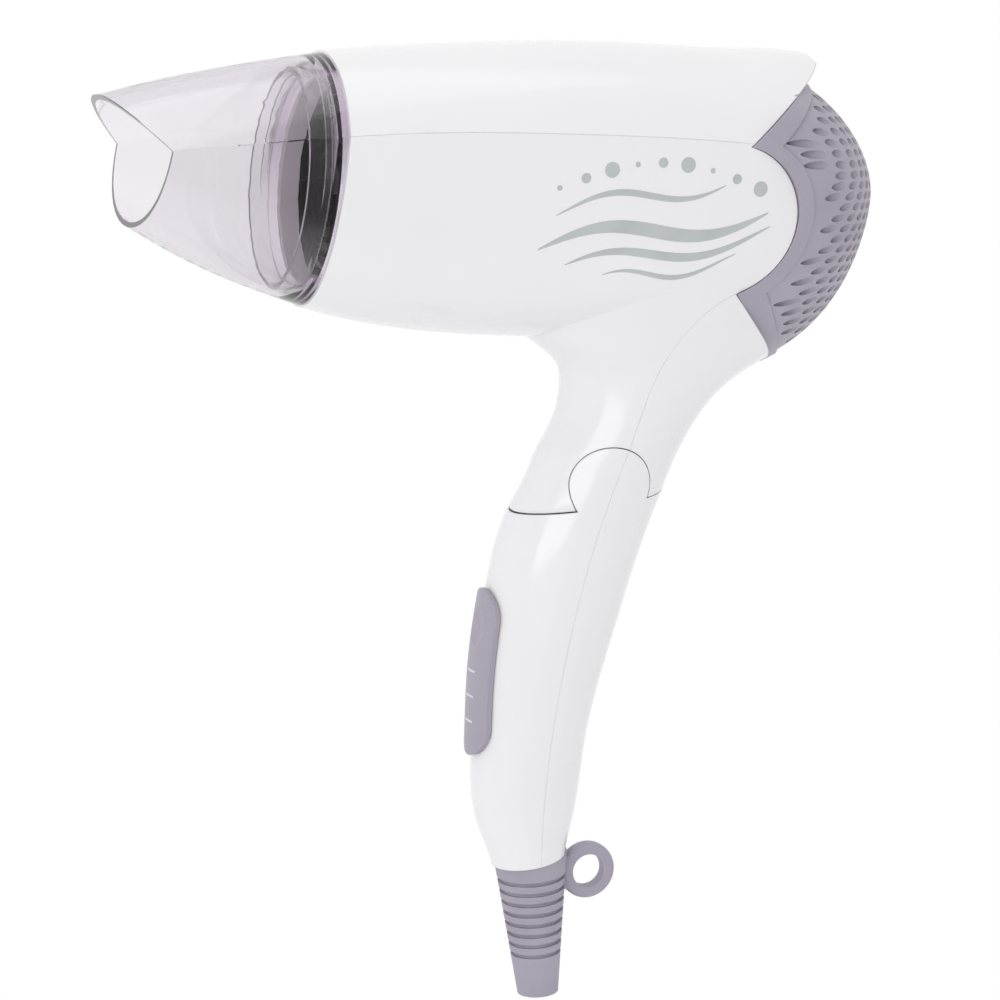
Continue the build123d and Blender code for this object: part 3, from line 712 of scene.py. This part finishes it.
@dataclass
class SidePrint:
    """Silver-grey breeze of waves and dots on the near side of the barrel."""

    strokes: tuple[BreezeStroke, ...] = (
        BreezeStroke(-27.0, 37.0, 171.5, 9.0, 3.4, 0.0, 3.6),
        BreezeStroke(-19.0, 38.0, 166.0, 9.5, 3.0, 0.5, 2.3),
        BreezeStroke(-8.0, 29.0, 163.0, 5.0, 2.2, 0.9, 1.3),
        BreezeStroke(-23.0, 24.0, 181.0, 7.5, 2.6, -0.3, 1.7),
    )
    dots: int = 9
    dot_start: Flat = (-22.0, 187.5)
    dot_step: Flat = (6.9, -0.15)
    dot_bow: float = 6.5
    dot_sizes: tuple[float, ...] = (0.7, 1.3, 2.0)
    rows: int = 72
    lanes: int = 4
    spokes: int = 28
    lift: float = 0.03
    thickness: float = 0.05
    far_side: float = -0.2

    def build(self, workshop: Workshop) -> None:
        """Lay the print on the shell.

        Args:
            workshop: the finishes.
        """
        shell = node_tree_of("main_shell")
        sheet = bmesh.new()
        for stroke in self.strokes:
            self._stroke(sheet, shell, stroke)
        for index in range(self.dots):
            self._dot(sheet, shell, index)
        mesh = mesh_of(sheet, "side_print")
        finish = PRINT_INK.material(workshop.shelf)
        thicken(workshop.add_piece(mesh, Body.HEAD, Slot.LILAC_PLASTIC, finish), self.thickness)

    def _on_shell(self, shell: BVHTree, x: float, z: float) -> Vector:
        """Find the print's height over the shell.

        Args:
            shell: the shell's surface.
            x: place along the barrel.
            z: height.

        Returns:
            The point just off the shell.
        """
        point, normal, _, _ = shell.ray_cast(Vector((x, self.far_side, z)), Vector((0.0, 1.0, 0.0)))
        outward = normal if normal.y < 0.0 else -normal
        return point + outward * self.lift * MM

    def _stroke(self, sheet: bmesh.types.BMesh, shell: BVHTree, stroke: BreezeStroke) -> None:
        """Add one wave.

        Args:
            sheet: the print's mesh.
            shell: the shell's surface.
            stroke: the wave.
        """
        grid = []
        for row in range(1, self.rows):
            line = []
            for lane in range(self.lanes + 1):
                x, z = stroke.place(row / self.rows, 2.0 * lane / self.lanes - 1.0)
                line.append(sheet.verts.new(self._on_shell(shell, x, z)))
            grid.append(line)
        for line, following in zip(grid, grid[1:]):
            for lane in range(self.lanes):
                sheet.faces.new((line[lane], following[lane], following[lane + 1], line[lane + 1]))

    def _dot(self, sheet: bmesh.types.BMesh, shell: BVHTree, index: int) -> None:
        """Add one dot of the bowed row above the waves.

        Args:
            sheet: the print's mesh.
            shell: the shell's surface.
            index: its place in the row.
        """
        share = index / (self.dots - 1)
        x = self.dot_start[0] + self.dot_step[0] * index
        z = self.dot_start[1] + self.dot_step[1] * index + self.dot_bow * math.sin(math.pi * share)
        radius = self.dot_sizes[index % len(self.dot_sizes)]
        centre = sheet.verts.new(self._on_shell(shell, x * MM, z * MM))
        rim = []
        for spoke in range(self.spokes):
            turn = 2.0 * math.pi * spoke / self.spokes
            place = ((x + radius * math.cos(turn)) * MM, (z + radius * math.sin(turn)) * MM)
            rim.append(sheet.verts.new(self._on_shell(shell, *place)))
        for spoke in range(self.spokes):
            sheet.faces.new((centre, rim[spoke], rim[(spoke + 1) % self.spokes]))


@dataclass
class SwitchMarks:
    """Three light raised ticks on the front of the thumb slider."""

    heights: tuple[float, ...] = (44.6, 51.4, 58.2)
    half_width: float = 2.5
    half_height: float = 0.3
    columns: int = 14
    thickness: float = 0.16
    far_front: float = -0.2

    def build(self, workshop: Workshop) -> None:
        """Set the ticks on the slider.

        Args:
            workshop: the finishes.
        """
        slider = node_tree_of("switch_slider")
        sheet = bmesh.new()
        for height in self.heights:
            self._tick(sheet, slider, height)
        mesh = mesh_of(sheet, "switch_marks")
        finish = PALE_TICK_FINISH.material(workshop.shelf)
        thicken(workshop.add_piece(mesh, Body.SLIDER, Slot.LILAC_PLASTIC, finish), self.thickness)

    def _tick(self, sheet: bmesh.types.BMesh, slider: BVHTree, height: float) -> None:
        """Add one tick.

        Args:
            sheet: the ticks' mesh.
            slider: the slider's surface.
            height: its height in millimetres.
        """
        lines = []
        for level in (-1.0, 1.0):
            line = []
            for column in range(self.columns + 1):
                y = self.half_width * (2.0 * column / self.columns - 1.0)
                start = Vector((self.far_front, y * MM, (height + level * self.half_height) * MM))
                point, _, _, _ = slider.ray_cast(start, Vector((1.0, 0.0, 0.0)))
                line.append(sheet.verts.new(point))
            lines.append(line)
        for column in range(self.columns):
            corners = (lines[0][column], lines[0][column + 1], lines[1][column + 1], lines[1][column])
            sheet.faces.new(corners)


@dataclass
class IntakeLips:
    """Thin lips that close the slits between the intake frame and the shells around it."""

    half_width: float = 0.0335
    step: float = 0.0005
    reach: Flat = (0.035, 0.0785)
    middle: float = 0.19
    clear: float = 0.1
    gap_limits: Flat = (0.0002, 0.009)
    start: float = 1e-5
    bite: float = 0.0002
    thick: float = 0.0008
    blend: int = 8

    def build(self, workshop: Workshop) -> None:
        """Close the slit under the top cover and the slits above the neck.

        Args:
            workshop: the finishes.
        """
        for name, shell, up in (("cover_lip", "top_cover", 1.0), ("neck_lip", "rear_shell", -1.0)):
            mesh = self._lip(name, node_tree_of("intake_frame"), node_tree_of(shell), up)
            if mesh.polygons:
                workshop.add_piece(mesh, Body.HEAD, Slot.LILAC_PLASTIC)

    def _edge(self, rim: BVHTree, across: float, up: float) -> Vector | None:
        """Find the frame's outermost point at one place across.

        Args:
            rim: the frame's surface.
            across: the place across, along Y.
            up: 1 for the upper edge, -1 for the lower one.

        Returns:
            The point, or None where there is no frame.
        """
        count = round((self.reach[1] - self.reach[0]) / self.step)
        height = self.middle + up * self.clear
        starts = [Vector((self.reach[0] + self.step * place, across, height)) for place in range(count)]
        hits = [rim.ray_cast(start, Vector((0.0, 0.0, -up)))[0] for start in starts]
        return max((hit for hit in hits if hit), key=lambda hit: up * hit.z, default=None)

    def _runs(self, rim: BVHTree, shell: BVHTree, up: float) -> list[list[Vector]]:
        """Find the stretches of the frame's edge that stand off the shell.

        Args:
            rim: the frame's surface.
            shell: the shell's surface.
            up: 1 for the upper edge, -1 for the lower one.

        Returns:
            The edge's points, stretch by stretch.
        """
        runs = [[]]
        count = round(self.half_width / self.step)
        for index in range(-count, count + 1):
            edge = self._edge(rim, index * self.step, up)
            far = edge and self._far(shell, edge, up)
            if far and self.gap_limits[0] < abs(far.z - edge.z) < self.gap_limits[1]:
                runs[-1].append(edge)
            else:
                runs.append([])
        return [run for run in runs if len(run) > 1]

    def _far(self, shell: BVHTree, edge: Vector, up: float) -> Vector | None:
        """Find the shell's inner face straight over or under a point of the edge.

        Args:
            shell: the shell's surface.
            edge: the point.
            up: 1 to look up, -1 to look down.

        Returns:
            The point on the shell, or None.
        """
        return shell.ray_cast(edge + Vector((0.0, 0.0, up * self.start)), Vector((0.0, 0.0, up)))[0]

    def _lip(self, name: str, rim: BVHTree, shell: BVHTree, up: float) -> bpy.types.Mesh:
        """Build one lip from the frame's edge to the shell's inner face.

        Args:
            name: the lip's name.
            rim: the frame's surface.
            shell: the shell's surface.
            up: 1 for the upper edge, -1 for the lower one.

        Returns:
            The lip's mesh.
        """
        sheet = bmesh.new()
        for run in self._runs(rim, shell, up):
            rings = []
            for place, edge in enumerate(run):
                span = min(self.blend, place, len(run) - 1 - place)
                near = run[place - span:place + span + 1]
                x = sum(point.x for point in near) / len(near)
                far = self._far(shell, Vector((x, edge.y, edge.z)), up) or self._far(shell, edge, up)
                ends = (edge.z - up * self.bite, far.z + up * self.bite)
                corners = ((x, ends[0]), (x, ends[1]), (x - self.thick, ends[1]), (x - self.thick, ends[0]))
                rings.append([sheet.verts.new((along, edge.y, height)) for along, height in corners])
            for last, ring in zip(rings, rings[1:]):
                for side in range(len(ring)):
                    sheet.faces.new((last[side], last[side - 1], ring[side - 1], ring[side]))
            sheet.faces.new(rings[0])
            sheet.faces.new(rings[-1])
        return mesh_of(sheet, name)


@dataclass
class Studio:
    """Pale floor, soft light and the camera."""

    camera_place: Point = (-0.2750, -0.6866, 0.2208)
    camera_aim: Point = (-0.0251, 0.0, 0.1037)
    lens: float = 100.53
    sensor: float = 36.0
    sight: float = 20.0
    floor_drop: float = 0.16
    floor_half: float = 4.0
    floor_colour: Colour = (0.86, 0.86, 0.865)
    floor_roughness: float = 0.9
    fade_start: float = 0.16
    fade_end: float = 0.46
    ambient: float = 0.94
    room_level: float = 0.45
    room_mirror: float = 0.2
    room_side: Point = (-0.342, -0.94, 0.0)
    room_reach: Flat = (-0.1, 0.95)
    key_place: Point = (-0.9, -1.2, 0.75)
    key_size: float = 1.1
    key_power: float = 7.6
    top_place: Point = (-0.15, 0.15, 1.5)
    top_size: float = 1.2
    top_power: float = 2.6
    low_place: Point = (-0.45, -1.1, -0.08)
    low_size: float = 0.8
    low_power: float = 2.2
    light_aim: Point = (-0.02, 0.0, 0.15)

    def build(self) -> None:
        """Set the whole studio up."""
        scene = bpy.context.scene
        scene.view_settings.view_transform = "Standard"
        self._world(scene)
        self._floor(scene)
        self._light(scene, "key_light", self.key_place, self.key_size, self.key_power)
        self._light(scene, "top_light", self.top_place, self.top_size, self.top_power)
        fill = self._light(scene, "low_light", self.low_place, self.low_size, self.low_power)
        fill.visible_glossy = False
        fill.visible_transmission = False
        self._camera(scene)

    @staticmethod
    def _seen(bench: NodeBench) -> bpy.types.NodeSocket:
        """Mask of the rays that should meet a plain white background.

        Args:
            bench: the bench of the material or world.

        Returns:
            The mask's socket.
        """
        path = bench.add("ShaderNodeLightPath").outputs
        bent = bench.math("MAXIMUM", path["Is Glossy Ray"], path["Is Transmission Ray"])
        return bench.math("MAXIMUM", path["Is Camera Ray"], bent)

    @staticmethod
    def _echoed(bench: NodeBench) -> bpy.types.NodeSocket:
        """Mask of the rays that a surface mirrored on their way.

        Args:
            bench: the bench of the material or world.

        Returns:
            The mask's socket.
        """
        return bench.math("MINIMUM", bench.add("ShaderNodeLightPath").outputs["Glossy Depth"], 1.0)

    def _room(self, bench: NodeBench, heading: bpy.types.NodeSocket, level: float) -> bpy.types.NodeSocket:
        """Brightness of the surroundings: full behind the dryer, dimmer towards the room in front.

        Args:
            bench: the bench of the material or world.
            heading: the direction looked in, of any length.
            level: the brightness straight in front.

        Returns:
            The brightness's socket.
        """
        plain = bench.add("ShaderNodeVectorMath", operation="NORMALIZE")
        bench.link(heading, plain.inputs[0])
        way = bench.add("ShaderNodeVectorMath", operation="DOT_PRODUCT")
        bench.link(plain.outputs["Vector"], way.inputs[0])
        way.inputs[1].default_value = self.room_side
        return bench.spread(way.outputs["Value"], *self.room_reach, 1.0, level)

    def _world(self, scene: bpy.types.Scene) -> None:
        """White background and a plain ambient light, dimmer from the room in front.

        Args:
            scene: the scene.
        """
        world = bpy.data.worlds.new("studio")
        world.use_nodes = True
        world.node_tree.nodes.clear()
        scene.world = world
        bench = NodeBench(world.node_tree)
        heading = bench.add("ShaderNodeTexCoord").outputs["Generated"]
        dimmed = self._room(bench, heading, self.room_level)
        ambient = bench.add("ShaderNodeBackground")
        ambient.inputs["Color"].default_value = (1.0, 1.0, 1.0, 1.0)
        bench.link(bench.math("MULTIPLY", dimmed, self.ambient), ambient.inputs["Strength"])
        mirrored = bench.add("ShaderNodeBackground")
        mirrored.inputs["Color"].default_value = (1.0, 1.0, 1.0, 1.0)
        bench.link(self._room(bench, heading, self.room_mirror), mirrored.inputs["Strength"])
        white = bench.add("ShaderNodeBackground")
        white.inputs["Color"].default_value = (1.0, 1.0, 1.0, 1.0)
        path = bench.add("ShaderNodeLightPath").outputs
        plain = bench.add("ShaderNodeMixShader")
        bench.link(bench.math("MAXIMUM", path["Is Camera Ray"], path["Is Transmission Ray"]), plain.inputs[0])
        bench.link(ambient.outputs[0], plain.inputs[1])
        bench.link(white.outputs[0], plain.inputs[2])
        bent = bench.math("MAXIMUM", path["Is Glossy Ray"], path["Is Transmission Ray"])
        mix = bench.add("ShaderNodeMixShader")
        bench.link(bench.math("MULTIPLY", bent, self._echoed(bench)), mix.inputs[0])
        bench.link(plain.outputs[0], mix.inputs[1])
        bench.link(mirrored.outputs[0], mix.inputs[2])
        output = bench.add("ShaderNodeOutputWorld")
        bench.link(mix.outputs[0], output.inputs["Surface"])

    def _floor(self, scene: bpy.types.Scene) -> None:
        """Pale floor below the hung dryer, fading to white further out.

        Args:
            scene: the scene.
        """
        mesh = bpy.data.meshes.new("floor")
        half = self.floor_half
        height = CAD_BOX[0][2] - self.floor_drop
        corners = [(-half, -half, height), (half, -half, height), (half, half, height), (-half, half, height)]
        mesh.from_pydata(corners, [], [(0, 1, 2, 3)])
        floor = bpy.data.objects.new("floor", mesh)
        scene.collection.objects.link(floor)
        material, bench, shader = start_material("pale_floor")
        shader.inputs["Base Color"].default_value = (*self.floor_colour, 1.0)
        shader.inputs["Roughness"].default_value = self.floor_roughness
        white = bench.add("ShaderNodeEmission")
        white.inputs["Color"].default_value = (1.0, 1.0, 1.0, 1.0)
        place = bench.add("ShaderNodeNewGeometry").outputs["Position"]
        reach = bench.add("ShaderNodeVectorMath", operation="LENGTH")
        bench.link(place, reach.inputs[0])
        fade = bench.spread(reach.outputs["Value"], self.fade_start, self.fade_end)
        unmirrored = bench.math("SUBTRACT", 1.0, self._echoed(bench))
        mirrored = self._room(bench, place, self.room_mirror)
        bench.link(bench.math("MAXIMUM", unmirrored, mirrored), white.inputs["Strength"])
        mix = bench.add("ShaderNodeMixShader")
        bench.link(bench.math("MULTIPLY", fade, self._seen(bench)), mix.inputs[0])
        bench.link(shader.outputs[0], mix.inputs[1])
        bench.link(white.outputs[0], mix.inputs[2])
        output = next(node for node in material.node_tree.nodes if node.type == "OUTPUT_MATERIAL")
        bench.link(mix.outputs[0], output.inputs["Surface"])
        mesh.materials.append(material)

    def _light(self, scene: bpy.types.Scene, name: str, place: Point, size: float,
               power: float) -> bpy.types.Object:
        """Add a large soft lamp.

        Args:
            scene: the scene.
            name: the lamp's name.
            place: where it stands.
            size: its side.
            power: its power in watts.

        Returns:
            The lamp's object.
        """
        lamp = bpy.data.lights.new(name, "AREA")
        lamp.size = size
        lamp.energy = power
        holder = bpy.data.objects.new(name, lamp)
        holder.location = place
        way = Vector(self.light_aim) - Vector(place)
        holder.rotation_euler = way.to_track_quat("-Z", "Y").to_euler()
        scene.collection.objects.link(holder)
        return holder

    def _camera(self, scene: bpy.types.Scene) -> None:
        """Place the camera at the photograph's viewpoint.

        Args:
            scene: the scene.
        """
        data = bpy.data.cameras.new("camera")
        data.lens = self.lens
        data.sensor_width = self.sensor
        data.clip_end = self.sight
        camera = bpy.data.objects.new("camera", data)
        camera.location = self.camera_place
        way = Vector(self.camera_aim) - Vector(self.camera_place)
        camera.rotation_euler = way.to_track_quat("-Z", "Y").to_euler()
        scene.collection.objects.link(camera)
        scene.camera = camera


def main() -> None:
    """Dress the dryer piece by piece and set the studio up."""
    logging.basicConfig(level=logging.INFO, format="%(name)s: %(message)s")
    workshop = Workshop()
    assemblies = [
        DressedNodes("nozzle", ("nozzle",)),
        DressedNodes("head shells", ("top_cover", "main_shell", "rear_shell", "neck_screw")),
        DressedNodes("intake", ("intake_frame", "intake_grille")),
        DressedNodes("outlet", ("outlet_ring", "outlet_guard")),
        DressedNodes("heater", ("heat_tube", "mica_boards", "heating_wire")),
        DressedNodes("blower", ("fan_duct", "motor", "motor_shaft", "fan")),
        DressedNodes("fold joint", ("hinge_pin", "hinge_washers")),
        DressedNodes("grip", ("grip_front", "grip_rear", "grip_screws")),
        DressedNodes("switch", ("switch_slider", "switch_body")),
        DressedNodes("cord sleeve", ("strain_relief",)),
        SidePrint(),
        SwitchMarks(),
        IntakeLips(),
    ]
    for assembly in assemblies:
        assembly.build(workshop)
    Studio().build()


if __name__ == "__main__":
    main()
